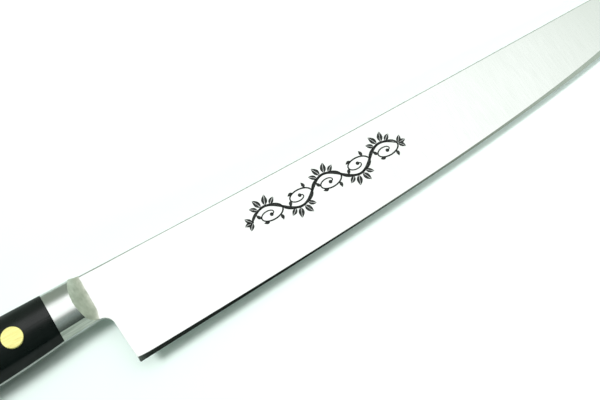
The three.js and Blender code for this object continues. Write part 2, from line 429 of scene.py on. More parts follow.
    def bevel(self, x: np.ndarray, side: Side) -> np.ndarray:
        """Width of a sharpened bevel, which narrows from the heel and widens towards the tip.

        Args:
            x: Places along the knife.
            side: The bevel's side.

        Returns:
            The width at each place.
        """
        share = np.clip(x / self.blade_length, 0, 1)
        rest = 1 - share
        middle = 3 * share * rest * self.bevel_middle
        flare = self.bevel_flare * np.exp(-np.clip(x, 0, None) / self.flare_length)
        width = self.bevel_heel * rest**3 + middle + self.bevel_tip * share**3 + flare
        return width if side is Side.RIGHT else width * self.left_bevel_share

    def shoulder_at(self, x: np.ndarray) -> np.ndarray:
        """Thickness just above the bevels at x: more at the heel, where the bevels are steeper."""
        rest = 1 - np.clip(x / self.blade_length, 0, 1)
        return self.shoulder + (self.heel_shoulder - self.shoulder) * rest**self.shoulder_fade

    def face(self, x: np.ndarray, y: np.ndarray, side: Side) -> np.ndarray:
        """Height of one face of the steel over its middle plane.

        Args:
            x: Places along the knife.
            y: Places across it.
            side: The face.

        Returns:
            The face's z, which is negative on the left.
        """
        above = y - self.edge(x)
        right, left = self.bevel(x, Side.RIGHT), self.bevel(x, Side.LEFT)
        own = right if side is Side.RIGHT else left
        shoulder = self.shoulder_at(x)
        slope = (self.stock - self.heel_shoulder) / 2 / (self.heel_height - self.bevel_heel)
        flank = shoulder / 2 + slope * (above - right)
        apex = shoulder * (0.5 - right / (right + left)) * side
        corner = shoulder / 2 + slope * (own - right)
        bevelled = apex + (corner - apex) * np.clip(above / own, 0, 1)
        ground = np.where(above < own, bevelled, flank)
        plain = 1 - smooth(x, self.ramp_front, 0.0)
        return side * (ground + (self.half_stock - ground) * plain)

    def swell(self, turn: np.ndarray, lean: float) -> np.ndarray:
        """How far out, from 0 to 1, a section that draws in sooner by its lean stands at a turn."""
        return np.sin(turn + lean * np.sin(turn) ** 2 * (1 - np.cos(turn)) / 2)

    def oval(
        self,
        top: np.ndarray,
        belly: np.ndarray,
        flank: float | np.ndarray,
        turn: np.ndarray,
        lean: float,
    ) -> tuple[np.ndarray, np.ndarray]:
        """One side of a handle section: an ellipse that is cut off almost flat along the back.

        Args:
            top: Height of the back.
            belly: Height of the belly.
            flank: Half thickness.
            turn: Angles from the back (0) round the flank to the belly (pi).
            lean: How much sooner the section draws in below its widest place, as an angle.

        Returns:
            The y and z of each angle.
        """
        lift = np.cos(turn)
        cut_off = eased_minimum(self.back_stretch * lift, np.ones_like(lift), self.back_blend)
        cut_off = cut_off - self.back_crown * (1 - lift)
        y = (top + belly) / 2 + (top - belly) / 2 * np.where(lift > 0, cut_off, lift)
        return y, self.half_stock + (flank - self.half_stock) * self.swell(turn, lean)

    def section(
        self,
        x: np.ndarray,
        flank: float | np.ndarray,
        turned_share: np.ndarray,
        down: np.ndarray,
        lean: float = 0.0,
    ) -> tuple[np.ndarray, np.ndarray]:
        """One side of a bolster or scale section: round to a corner, then flat to the belly.

        Args:
            x: Places along the knife.
            flank: Half thickness there.
            turned_share: How far round from the back (0) to the corner (1) each point lies.
            down: How far down the flat facet it lies.
            lean: How much sooner the section draws in below its widest place, as an angle.

        Returns:
            The y and z of each point.
        """
        top, belly = self.upper(x), self.lower(x)
        corner = np.arccos(self.facet_height / ((top - belly) / 2) - 1)
        y, z = self.oval(top, belly, flank, turned_share * corner, lean)
        return y + (belly - y) * down, z + (self.half_stock - z) * down

    def scale_surface(self, x: np.ndarray, y: np.ndarray) -> np.ndarray:
        """Height of a scale's outside over the steel's middle plane.

        Args:
            x: Places along the handle.
            y: Places across it.

        Returns:
            The height at each place.
        """
        top, belly, flank, flat = self.handle(x)
        across = (y - (top + belly) / 2) / ((top - belly) / 2)
        stretched = np.where(across > 0, across / self.back_stretch, across)
        swell = self.swell(np.arccos(np.clip(stretched, -1, 1)), self.scale_lean)
        return eased_minimum(self.half_stock + (flank - self.half_stock) * swell, flat)


def section_rows(round_rows: int, facet_rows: int) -> tuple[np.ndarray, np.ndarray]:
    """The two shares that a section needs for each of its rows.

    Args:
        round_rows: Points from the back to the corner.
        facet_rows: Steps from the corner to the belly.

    Returns:
        Columns of shares round the section and down its facet.
    """
    share = np.concatenate([np.linspace(0, 1, round_rows), np.ones(facet_rows)])
    down = np.concatenate([np.zeros(round_rows), np.linspace(0, 1, facet_rows + 1)[1:]])
    return share[:, None], down[:, None]


@dataclass
class Skin:
    """Points, faces and material slots of one piece while it is made."""

    points: list[tuple[float, float, float]] = field(default_factory=list)
    faces: list[tuple[int, ...]] = field(default_factory=list)
    slots: list[int] = field(default_factory=list)

    def grid(
        self, points: np.ndarray, slots: int | np.ndarray = 0, around: bool = False
    ) -> None:
        """Adds a sheet of four-cornered faces.

        Args:
            points: Points in rows and columns.
            slots: One material slot for the sheet, or one for each face.
            around: Whether each row closes on itself.
        """
        rows, columns = points.shape[:2]
        start = len(self.points)
        self.points.extend(map(tuple, points.reshape(-1, 3)))
        across = columns if around else columns - 1
        slot_of = np.broadcast_to(slots, (rows - 1, across))
        for row in range(rows - 1):
            for column in range(across):
                after = (column + 1) % columns
                corners = [(row, column), (row, after), (row + 1, after), (row + 1, column)]
                self.faces.append(tuple(start + r * columns + c for r, c in corners))
                self.slots.append(int(slot_of[row, column]))


def crisp_edges(mesh: bpy.types.Mesh) -> None:
    """Shades a mesh smooth, but keeps sharp corners and the lines where two finishes meet.

    Args:
        mesh: The mesh that is shaded.
    """
    work = bmesh.new()
    work.from_mesh(mesh)
    for face in work.faces:
        face.smooth = True
    for edge in work.edges:
        faces = edge.link_faces
        if len(faces) == 2:
            two_finishes = faces[0].material_index != faces[1].material_index
            edge.smooth = not two_finishes and edge.calc_face_angle(0.0) < CRISP_ANGLE
    work.to_mesh(mesh)
    work.free()


@dataclass(frozen=True)
class Bench:
    """Where the heel of the edge lies in the CAD frame, and how pieces get there."""

    heel: Vector

    @classmethod
    def from_frame(cls, shape: KnifeShape) -> "Bench":
        """Finds the heel from the box of the CAD blade."""
        low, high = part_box("blade_and_tang")
        return cls(Vector((high.x - shape.blade_length * MM, low.y, (low.z + high.z) / 2)))

    def placed(self, name: str, skin: Skin) -> bpy.types.Mesh:
        """Makes a welded mesh from a skin, with its faces outward, and moves it into the frame.

        Args:
            name: The mesh's name.
            skin: Its points and faces, in millimetres from the heel.

        Returns:
            The mesh.
        """
        mesh = bpy.data.meshes.new(name)
        mesh.from_pydata(skin.points, [], skin.faces)
        mesh.polygons.foreach_set("material_index", skin.slots)
        work = bmesh.new()
        work.from_mesh(mesh)
        bmesh.ops.remove_doubles(work, verts=work.verts, dist=WELD)
        bmesh.ops.dissolve_degenerate(work, edges=work.edges, dist=WELD)
        bmesh.ops.recalc_face_normals(work, faces=work.faces)
        if work.calc_volume(signed=True) < 0:
            bmesh.ops.reverse_faces(work, faces=work.faces)
        work.to_mesh(mesh)
        work.free()
        mesh.transform(Matrix.Translation(self.heel) @ Matrix.Scale(MM, 4))
        return mesh

    def piece(
        self,
        name: str,
        skin: Skin,
        materials: Sequence[bpy.types.Material],
        slot: str,
        replaces: Sequence[str] = (),
    ) -> bpy.types.Object:
        """Makes a placed object, parents it to the knife's body and hides the CAD nodes it
        replaces.

        Args:
            name: The piece's name.
            skin: Its points and faces, in millimetres from the heel.
            materials: Its materials, in the order of its slots.
            slot: Not used.
            replaces: The CAD nodes it stands for.

        Returns:
            The new object.
        """
        mesh = self.placed(name, skin)
        for material in materials:
            mesh.materials.append(material)
        crisp_edges(mesh)
        thing = add_object(name, mesh)
        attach(thing, BODY)
        if replaces:
            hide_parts(*replaces)
        return thing

    def carve(self, target: bpy.types.Object, skin: Skin) -> None:
        """Cuts a closed skin out of a piece.

        Args:
            target: The piece that is cut.
            skin: The closed cutter, in millimetres from the heel.
        """
        whole, tool = target.data, self.placed("cutter", skin)
        cutter = add_object("cutter", tool)
        modifier = target.modifiers.new("carve", "BOOLEAN")
        modifier.object = cutter
        modifier.operation = "DIFFERENCE"
        modifier.solver = "EXACT"
        graph = bpy.context.evaluated_depsgraph_get()
        carved = bpy.data.meshes.new_from_object(target.evaluated_get(graph))
        target.modifiers.clear()
        target.data = carved
        crisp_edges(carved)
        bpy.data.objects.remove(cutter)
        for spent in (tool, whole):
            bpy.data.meshes.remove(spent)
        carved.name = target.name


def inner_face(outside: np.ndarray) -> np.ndarray:
    """The flat face that closes a half against the steel, from its back to its belly.

    Args:
        outside: Rows of points round the outside, whose first and last row lie on the steel.

    Returns:
        As many points, spread evenly between the first and the last row.
    """
    share = np.linspace(0, 1, len(outside))[:, None, None]
    return outside[:1] * (1 - share) + outside[-1:] * share


def turned(rings: Sequence[Ring], x: float, y: float, segments: int = 96) -> np.ndarray:
    """Points of a turned form about an axis along z.

    Args:
        rings: The radius of each ring and its height, or a rule for its height at x and y.
        x: Where the axis is along the knife.
        y: Where it is across the knife.
        segments: Points in each ring.

    Returns:
        One row of points for each ring.
    """
    angles = np.linspace(0, 2 * math.pi, segments, endpoint=False)
    rows = []
    for radius, height in rings:
        xs, ys = x + radius * np.cos(angles), y + radius * np.sin(angles)
        zs = height(xs, ys) if callable(height) else np.full(segments, height)
        rows.append(np.stack([xs, ys, zs], -1))
    return np.array(rows)


@dataclass(frozen=True)
class ScratchedMetal:
    """Metal whose finish is one direction of scratches, from a stone, a belt or a buffing wheel.

    The scratches' size and direction, given as the length of one mark along x, y and z, tell the
    finishes apart. A finish with clouds takes its tint from them and not from its scratches. Real
    scratches are some hundredths of a millimetre wide. A pixel of the render is about 0.4 mm, so
    they are drawn as coarse as they need to be to show.
    """

    name: str
    bright: str
    dull: str
    smoothest: float
    roughest: float
    scratch: tuple[float, float, float]
    relief: float
    clouds: float = 0.0  # size of one cloud, or none
    cloud_detail: float = 2.0
    detail: float = 3.0
    raggedness: float = 0.6
    faintest: float = 0.3  # range of the noise that makes the marks
    deepest: float = 0.7
    bump: float = 0.6

    def material(self) -> bpy.types.Material:
        """Builds the material.

        Returns:
            The material.
        """
        made, tree, shader = new_material(self.name)
        place = add_node(tree, "ShaderNodeTexCoord").outputs["Object"]
        steps = tuple(per_metre(size) for size in self.scratch)
        lines = add_node(tree, "ShaderNodeMapping", {}, {"Vector": place, "Scale": steps})
        marks = add_node(
            tree, "ShaderNodeTexNoise", {},
            {"Vector": lines.outputs[0], "Scale": 1.0, "Detail": self.detail,
             "Roughness": self.raggedness},
        )
        depth = add_node(
            tree, "ShaderNodeMapRange", {},
            {"Value": marks.outputs["Fac"], "From Min": self.faintest, "From Max": self.deepest},
        )
        shade = depth.outputs["Result"]
        if self.clouds:
            cloudy = add_node(
                tree, "ShaderNodeTexNoise", {},
                {"Vector": place, "Scale": per_metre(self.clouds), "Detail": self.cloud_detail},
            )
            shade = cloudy.outputs["Fac"]
        tint = add_node(
            tree, "ShaderNodeMix", {"data_type": "RGBA"},
            {"Factor": shade, "A": linear(self.bright), "B": linear(self.dull)},
        )
        gloss = add_node(
            tree, "ShaderNodeMapRange", {},
            {"Value": depth.outputs["Result"], "To Min": self.smoothest, "To Max": self.roughest},
        )
        bump = add_node(
            tree, "ShaderNodeBump", {},
            {"Height": marks.outputs["Fac"], "Distance": self.relief * MM, "Strength": self.bump},
        )
        shader.inputs["Metallic"].default_value = 1.0
        tree.links.new(tint.outputs["Result"], shader.inputs["Base Color"])
        tree.links.new(gloss.outputs["Result"], shader.inputs["Roughness"])
        tree.links.new(bump.outputs["Normal"], shader.inputs["Normal"])
        return made


@dataclass(frozen=True)
class BlackPakkawood:
    """Beech veneers soaked in black resin, pressed, shaped and buffed.

    It looks like black plastic with a soft shine; close up, fine pores run along the handle and the
    shine is uneven where hands have polished it. The belly is sanded flush with the tang and left
    so, which makes the faces that look down a duller, greyer black. Real pores are about 0.1 mm
    wide. They are drawn over three times as coarse so that they show.
    """

    name: str = "buffed_black_pakkawood"
    deep: str = "#040A09"
    fibre: str = "#0C1613"
    ior: float = 1.42
    smoothest: float = 0.24
    roughest: float = 0.36
    pore: tuple[float, float, float] = (9.0, 0.35, 0.35)
    pore_raggedness: float = 0.65
    pore_faintest: float = 0.4  # range of the noise that makes the fibres
    pore_deepest: float = 0.75
    smudge: float = 7.0
    smudge_faintest: float = 0.35  # range of the noise that makes the smudges
    smudge_deepest: float = 0.7
    detail: float = 4.0
    relief: float = 0.006
    bump: float = 0.5
    sanding: float = 0.38  # roughness that the sanding adds
    sanded_from: float = -0.64  # how far down a face looks where the sanding starts
    sanded_to: float = -0.8

    def material(self) -> bpy.types.Material:
        """Builds the material.

        Returns:
            The material.
        """
        made, tree, shader = new_material(self.name)
        place = add_node(tree, "ShaderNodeTexCoord")
        steps = tuple(per_metre(size) for size in self.pore)
        along = add_node(
            tree, "ShaderNodeMapping", {}, {"Vector": place.outputs["Object"], "Scale": steps}
        )
        pores = add_node(
            tree, "ShaderNodeTexNoise", {},
            {"Vector": along.outputs[0], "Scale": 1.0, "Detail": self.detail,
             "Roughness": self.pore_raggedness},
        )
        smudges = add_node(
            tree, "ShaderNodeTexNoise", {},
            {"Vector": place.outputs["Object"], "Scale": per_metre(self.smudge),
             "Detail": self.detail},
        )
        darkness = add_node(
            tree, "ShaderNodeMapRange", {},
            {"Value": pores.outputs["Fac"], "From Min": self.pore_faintest,
             "From Max": self.pore_deepest},
        )
        tint = add_node(
            tree, "ShaderNodeMix", {"data_type": "RGBA"},
            {"Factor": darkness.outputs["Result"], "A": linear(self.deep),
             "B": linear(self.fibre)},
        )
        gloss = add_node(
            tree, "ShaderNodeMapRange", {},
            {"Value": smudges.outputs["Fac"], "From Min": self.smudge_faintest,
             "From Max": self.smudge_deepest, "To Min": self.smoothest, "To Max": self.roughest},
        )
        facing = add_node(tree, "ShaderNodeSeparateXYZ", {}, {0: place.outputs["Normal"]})
        sanded = add_node(
            tree, "ShaderNodeMapRange", {"interpolation_type": "SMOOTHSTEP"},
            {"Value": facing.outputs["Y"], "From Min": self.sanded_from,
             "From Max": self.sanded_to, "To Max": self.sanding},
        )
        dull = add_node(
            tree, "ShaderNodeMath", {"operation": "ADD"},
            {0: gloss.outputs["Result"], 1: sanded.outputs["Result"]},
        )
        bump = add_node(
            tree, "ShaderNodeBump", {},
            {"Height": pores.outputs["Fac"], "Distance": self.relief * MM, "Strength": self.bump},
        )
        shader.inputs["IOR"].default_value = self.ior
        tree.links.new(tint.outputs["Result"], shader.inputs["Base Color"])
        tree.links.new(dull.outputs[0], shader.inputs["Roughness"])
        tree.links.new(bump.outputs["Normal"], shader.inputs["Normal"])
        return made


@dataclass(frozen=True)
class EtchedOxide:
    """Black oxide left by electrolytic etching.

    It is dull and slightly worn, with paler specks where it has thinned. Real specks are about
    0.1 mm across. They are drawn five times as coarse so that they show.
    """

    name: str = "etched_black_oxide"
    black: str = "#141716"
    worn: str = "#4A4F4C"
    roughness: float = 0.6
    speck: float = 0.5
    detail: float = 2.0
    least_worn: float = 0.55  # range of the noise that makes the specks
    most_worn: float = 0.75

    def material(self) -> bpy.types.Material:
        """Builds the material.

        Returns:
            The material.
        """
        made, tree, shader = new_material(self.name)
        place = add_node(tree, "ShaderNodeTexCoord").outputs["Object"]
        specks = add_node(
            tree, "ShaderNodeTexNoise", {},
            {"Vector": place, "Scale": per_metre(self.speck), "Detail": self.detail},
        )
        wear = add_node(
            tree, "ShaderNodeMapRange", {},
            {"Value": specks.outputs["Fac"], "From Min": self.least_worn,
             "From Max": self.most_worn},
        )
        tint = add_node(
            tree, "ShaderNodeMix", {"data_type": "RGBA"},
            {"Factor": wear.outputs["Result"], "A": linear(self.black), "B": linear(self.worn)},
        )
        shader.inputs["Roughness"].default_value = self.roughness
        tree.links.new(tint.outputs["Result"], shader.inputs["Base Color"])
        return made


@dataclass(frozen=True)
class MattCard:
    """Uncoated white card: quite matt, so it takes soft shadows and shows no reflection."""

    name: str = "matt_white_card"
    colour: str = "#EDF9F5"

    def material(self) -> bpy.types.Material:
        """Builds the material.

        Returns:
            The material.
        """
        made, _, shader = new_material(self.name)
        shader.inputs["Base Color"].default_value = linear(self.colour)
        shader.inputs["Roughness"].default_value = 1.0
        shader.inputs["Specular IOR Level"].default_value = 0.0
        return made


class Finish(Enum):
    """The finishes that the knife and its card are dressed in."""

    # Carbon steel ground flat and finished with a fine belt from spine to edge: the cross hairlines
    # scatter reflections a little, so the face looks bright and silky and not like a mirror.
    # The real lines are about 0.05 mm apart. They are drawn ten times as coarse so that they show.
    HAIRLINE = ScratchedMetal(
        "hairline_ground_carbon_steel", "#D8DCD9", "#CFD4D0", smoothest=0.19, roughest=0.25,
        scratch=(0.5, 9.0, 0.5), relief=0.0015, clouds=32.0,
    )

    # Sharpened on a water stone: almost a mirror, so the bevel shows the dark side of the room as a
    # crisp dark line.
    WHETSTONE = ScratchedMetal(
        "whetstone_sharpened_steel", "#C6CBC7", "#B4BAB5", smoothest=0.05, roughest=0.11,
        scratch=(0.4, 3.0, 3.0), relief=0.001,
    )

    # Ground lengthwise on a belt: the spine and the tang's rim look grey and streaky.
    BELT = ScratchedMetal(
        "belt_ground_steel_edges", "#C9CDC9", "#AFB6B0", smoothest=0.2, roughest=0.36,
        scratch=(9.0, 0.35, 0.35), relief=0.004,
    )

    # Buffed on a soft wheel: a wide soft highlight between two dark bands, with no visible marks.
    BUFFED = ScratchedMetal(
        "buffed_bolster_steel", "#D5D9D6", "#CED3D0", smoothest=0.2, roughest=0.25,
        scratch=(6.0, 1.2, 1.2), relief=0.0002,
    )

    # Ground across with fine grit: the ramp is an even, silky grey.
    SATIN = ScratchedMetal(
        "satin_ground_steel", "#CCCFC3", "#BAC0B2", smoothest=0.38, roughest=0.52,
        scratch=(1.4, 2.2, 1.4), relief=0.01,
    )

    # Ground lengthwise with coarser grit and left so: thin light and dark lines run along the
    # bolster's belly.
    BELLY = ScratchedMetal(
        "belt_ground_bolster_belly", "#CDD1C8", "#8E958B", smoothest=0.34, roughest=0.5,
        scratch=(24.0, 0.5, 0.7), relief=0.012,
    )

    PAKKAWOOD = BlackPakkawood()

    # Cartridge brass rivet heads, sanded flush with the scales and buffed: pale gold with faint
    # straight scratches.
    BRASS = ScratchedMetal(
        "buffed_cartridge_brass", "#D9D68F", "#CCC57A", smoothest=0.16, roughest=0.3,
        scratch=(4.0, 0.3, 4.0), relief=0.002,
    )

    OXIDE = EtchedOxide()

    CARD = MattCard()


Finishes = dict[Finish, bpy.types.Material]


@dataclass(frozen=True)
class Rivet:
    """One place where a two-piece rivet holds the handle together."""

    name: str
    x: float
    y: float
    seat: float  # how far from the steel's middle plane its heads sit


@dataclass
class BladeAndTang:
    """The ground blade, its neck and the full tang, as one closed form."""

    shape: KnifeShape
    flank_rows: int = 18
    spine_rows: int = 10
    round_columns: int = 25
    handle_columns: int = 60
    neck_columns: int = 24
    heel_columns: int = 24
    blade_columns: int = 150
    tip_columns: int = 60
    tip_crowding: float = 1.3  # the power by which columns gather at the tip
    column_digits: int = 5
    spine_round: float = 0.5
    heel_round: float = 0.25
    heel_round_length: float = 25.0
    tang_round: float = 0.03
    least_round: float = 1e-4
    round_of_thickness: float = 0.8  # a round is at most this share of the half thickness
    round_of_height: float = 0.3  # and of the height
    bevel_of_height: float = 0.45
    rim_step: float = 0.15  # height of a flank's first row where it has no bevel
    rim_of_height: float = 0.2
    shank_hole: float = 2.6
    hole_reach: float = 4.0

    def columns(self) -> np.ndarray:
        """Spreads columns along the knife, closer together where the outline turns.

        Returns:
            Places from the butt to the tip.
        """
        s = self.shape
        quarter = np.linspace(0, math.pi / 2, self.round_columns)
        to_tip = (1 - np.linspace(0, 1, self.tip_columns)) ** self.tip_crowding
        stretches = [
            s.butt + s.butt_radius * (1 - np.sin(quarter)),
            np.linspace(s.butt + s.butt_radius, s.scale_front, self.handle_columns),
            np.linspace(s.scale_front, s.choil_x, self.neck_columns),
            s.choil_x + s.choil_radius * np.sin(quarter),
            -s.heel_rake * (1 - np.linspace(0, 1, self.heel_columns)),
            np.linspace(0, s.blade_length - s.spine_curve_length, self.blade_columns),
            s.blade_length - s.spine_curve_length * to_tip,
        ]
        return np.unique(np.round(np.concatenate(stretches), self.column_digits))

    def sheet(self, x: np.ndarray, side: Side) -> np.ndarray:
        """Points of one face of the steel, from the lower outline over the flank to the spine.

        Args:
            x: The columns.
            side: The face.

        Returns:
            Points in rows and columns.
        """
        s = self.shape
        low, high = s.lower(x), s.upper(x)
        tall = high - low
        open_blade = smooth(x, s.arris, s.ramp_front)
        thickness = (s.face(x, high, Side.RIGHT) - s.face(x, high, Side.LEFT)) / 2
        wanted = self.spine_round + self.heel_round * (1 - smooth(x, 0, self.heel_round_length))
        most = np.minimum(self.round_of_thickness * thickness, self.round_of_height * tall)
        eased = np.maximum(np.minimum(wanted, most), self.least_round)
        radius = self.tang_round + (eased - self.tang_round) * open_blade
        shoulder = np.minimum(s.bevel(x, side), self.bevel_of_height * tall)
        rim = low + np.minimum(self.rim_step, self.rim_of_height * tall)
        corner = np.where(x >= 0, low + shoulder, np.maximum(s.edge(x) + shoulder, rim))
        rows = [np.stack([x, low, s.face(x, low, side)], -1)]
        for share in np.linspace(0, 1, self.flank_rows):
            y = corner + (high - radius - corner) * share
            rows.append(np.stack([x, y, s.face(x, y, side)], -1))
        start = s.face(x, high - radius, side)
        for turn in np.linspace(0, math.pi / 2, self.spine_rows)[1:]:
            y = high - radius + radius * math.sin(turn)
            rows.append(np.stack([x, y, start - side * radius * (1 - math.cos(turn))], -1))
        points = np.array(rows)
        points[:, -1] = points[0, -1]
        return points

    def finish_of(self, x: np.ndarray, rows: int) -> np.ndarray:
        """The material slot of each face of a sheet.

        Args:
            x: The columns.
            rows: The number of rows of points.

        Returns:
            A slot for each row and column of faces.
        """
        s = self.shape
        middle = (x[1:] + x[:-1]) / 2
        slots = np.full((rows - 1, len(middle)), int(BladeSlot.FLANK))
        slots[0, middle > 0] = BladeSlot.BEVEL
        slots[self.flank_rows :, :] = BladeSlot.EDGE
        slots[:, middle < s.scale_front] = BladeSlot.EDGE
        slots[:, (middle > s.scale_front) & (middle < s.arris)] = BladeSlot.POLISHED
        return slots

    def build(
        self, bench: Bench, finishes: Finishes, rivets: Sequence[Rivet]
    ) -> list[bpy.types.Object]:
        """Makes the piece, with a hole in the tang for each rivet.

        Args:
            bench: Where the heel is.
            finishes: All materials.
            rivets: The rivets' places.

        Returns:
            The blade.
        """
        x = self.columns()
        right, left = self.sheet(x, Side.RIGHT), self.sheet(x, Side.LEFT)
        slots = self.finish_of(x, len(right))
        rim = slots[-1:]
        skin = Skin()
        skin.grid(right, slots)
        skin.grid(left, slots)
        skin.grid(np.array([right[0], left[0]]), rim)
        skin.grid(np.array([right[-1], left[-1]]), rim)
        skin.grid(np.stack([right[:, 0], left[:, 0]]), int(BladeSlot.EDGE))
        order = (Finish.HAIRLINE, Finish.WHETSTONE, Finish.BELT, Finish.BUFFED)
        materials = [finishes[finish] for finish in order]
        blade = bench.piece(
            "blade_and_full_tang", skin, materials, "blade_steel", ["blade_and_tang"]
        )
        holes = Skin()
        radius, reach = self.shank_hole, self.hole_reach
        rings = [(0.0, reach), (radius, reach), (radius, -reach), (0.0, -reach)]
        for rivet in rivets:
            holes.grid(turned(rings, rivet.x, rivet.y), around=True)
        bench.carve(blade, holes)
        return [blade]


@dataclass
class BolsterHalf:
    """A welded bolster half.

    It has a buffed flank, a flat ground belly, and one hollow ramp ground across it to the blade.
    """

    shape: KnifeShape
    side: Side
    round_rows: int = 64
    facet_rows: int = 8
    body_columns: int = 14
    ramp_columns: int = 24
    ramp_rounds: int = 12  # rounds in which the ramp's upper edge settles on the body
    ramp_end: float = -4.2  # where the ramp runs out on the blade
    ramp_slope: float = 1.175  # its rise for each millimetre
    fillet: float = 3.2  # length of its eased foot
    foot_back: float = 0.8  # how far the foot is drawn back at the belly
    foot_height: float = 3.5  # height over the belly in which it is
    least_ramp: float = 0.05
    wave: float = 0.06  # unevenness of the hand-ground foot
    wave_length: float = 2.6

    def ramp_reach(self, height: np.ndarray) -> np.ndarray:
        """How far behind its front end the ramp has a height: an eased foot, then straight."""
        eased = np.sqrt(2 * self.fillet * np.maximum(height, 0) / self.ramp_slope)
        return np.where(eased < self.fillet, eased, height / self.ramp_slope + self.fillet / 2)

    def ramp_height(self, reach: np.ndarray) -> np.ndarray:
        """The ramp's height over the steel at a distance behind its front end."""
        eased = self.ramp_slope * reach**2 / (2 * self.fillet)
        return np.where(reach < self.fillet, eased, self.ramp_slope * (reach - self.fillet / 2))

    def outside(self) -> np.ndarray:
        """Points of the outside: each row runs along the body, then down the ramp.

        Returns:
            Points in rows and columns.
        """
        s = self.shape
        flank, foot = s.handle_front_flank, s.neck_belly
        share, down = section_rows(self.round_rows, self.facet_rows)
        front = arris = np.full_like(share, s.arris)
        for _ in range(self.ramp_rounds):
            y, z = s.section(arris, flank, share, down)
            ripple = self.wave * np.sin(2 * math.pi * y / self.wave_length) * np.sin(y)
            drawn_back = self.foot_back * (1 - smooth(y, foot, foot + self.foot_height))
            front = self.ramp_end + ripple - drawn_back
            arris = front - np.maximum(self.ramp_reach(z - s.half_stock), self.least_ramp)
        body = s.scale_front + (arris - s.scale_front) * np.linspace(0, 1, self.body_columns)
        ramp = arris + (front - arris) * np.linspace(0, 1, self.ramp_columns + 1)[1:]
        x = np.concatenate([body, ramp], 1)
        y, z = s.section(x, flank, share, down)
        on_ramp = z[:, self.body_columns :]
        np.minimum(on_ramp, s.half_stock + self.ramp_height(front - ramp), out=on_ramp)
        return np.stack([x, y, self.side * z], -1)

    def build(self, bench: Bench, finishes: Finishes) -> list[bpy.types.Object]:
        """Makes the piece.

        Args:
            bench: Where the heel is.
            finishes: All materials.

        Returns:
            The bolster half.
        """
        outside = self.outside()
        rows, columns = outside.shape[:2]
        slots = np.full((rows - 1, columns - 1), int(BolsterSlot.POLISHED))
        slots[self.round_rows - 1 :, :] = BolsterSlot.BELLY
        slots[:, self.body_columns - 1 :] = BolsterSlot.RAMP
        inside = outside * (1, 1, 0) + np.array([0, 0, self.side * self.shape.half_stock])
        skin = Skin()
        skin.grid(outside, slots)
        skin.grid(inside, int(BolsterSlot.RAMP))
        skin.grid(np.stack([outside[:, 0], inside[:, 0]]), int(BolsterSlot.RAMP))
        word = self.side.name.lower()
        materials = [finishes[finish] for finish in (Finish.BUFFED, Finish.SATIN, Finish.BELLY)]
        return [
            bench.piece(
                f"bolster_half_{word}", skin, materials, "bolster_steel", [f"bolster_{word}"]
            )
        ]


@dataclass
class HandleScale:
    """A black handle scale, bored for the rivets."""

    shape: KnifeShape
    side: Side
    body_columns: int = 120
    butt_columns: int = 28
    round_rows: int = 72
    facet_rows: int = 12
    eased_rows: int = 4
    joint: float = 0.03  # gap between the scale and the bolster
    shank_hole: float = 2.6
    head_hole: float = 4.06
    overrun: float = 3.0  # how far a bore's cutter reaches past the scale

    def eased(self, section: np.ndarray) -> np.ndarray:
        """Rounds the corner between the side and the sanded belly.

        Args:
            section: Rows of points from the back over the corner to the belly.

        Returns:
            The same rows, with those round the corner on an arc.
        """
        corner = self.round_rows - 1
        first, last = corner - self.eased_rows, corner + self.eased_rows
        share = np.linspace(0, 1, last - first + 1)[:, None, None]
        arc = (1 - share) ** 2 * section[first] + share**2 * section[last]
        rounded = section.copy()
        rounded[first : last + 1] = arc + 2 * share * (1 - share) * section[corner]
        return rounded

    def outside(self) -> np.ndarray:
        """Points of the outside, from the back round the side to the belly.

        Returns:
            Points in rows and columns.
        """
        s = self.shape
        quarter = np.linspace(math.pi / 2, 0, self.butt_columns)
        rounded = s.butt + s.butt_radius * (1 - np.sin(quarter))[:-1]
        front = s.scale_front - self.joint
        body = np.linspace(s.butt + s.butt_radius, front, self.body_columns)
        x = np.concatenate([rounded, body])
        flank, flat = s.handle(x)[2:]
        shares = section_rows(self.round_rows, self.facet_rows)
        y, rise = s.section(x, flank, *shares, s.scale_lean)
        z = np.maximum(s.half_stock, eased_minimum(rise, flat))
        return self.eased(np.stack([np.broadcast_to(x, y.shape), y, self.side * z], -1))

    def build(
        self, bench: Bench, finishes: Finishes, rivets: Sequence[Rivet]
    ) -> list[bpy.types.Object]:
        """Makes the piece, with a stepped bore for each rivet.

        Args:
            bench: Where the heel is.
            finishes: All materials.
            rivets: The rivets' places.

        Returns:
            The scale.
        """
        outside = self.outside()
        inside = inner_face(outside)
        skin = Skin()
        skin.grid(outside)
        skin.grid(inside)
        for end in (0, -1):
            skin.grid(np.stack([outside[:, end], inside[:, end]]))
        word = self.side.name.lower()
        materials = [finishes[Finish.PAKKAWOOD]]
        scale = bench.piece(
            f"handle_scale_{word}", skin, materials, "handle_wood", [f"scale_{word}"]
        )
        bores = Skin()
        past = self.side * (self.shape.handle_rear_flank + self.overrun)
        for rivet in rivets:
            seat = self.side * rivet.seat
            rings = [
                (0.0, 0.0),
                (self.shank_hole, 0.0),
                (self.shank_hole, seat),
                (self.head_hole, seat),
                (self.head_hole, past),
                (0.0, past),
            ]
            bores.grid(turned(rings, rivet.x, rivet.y), around=True)
        bench.carve(scale, bores)
        return [scale]


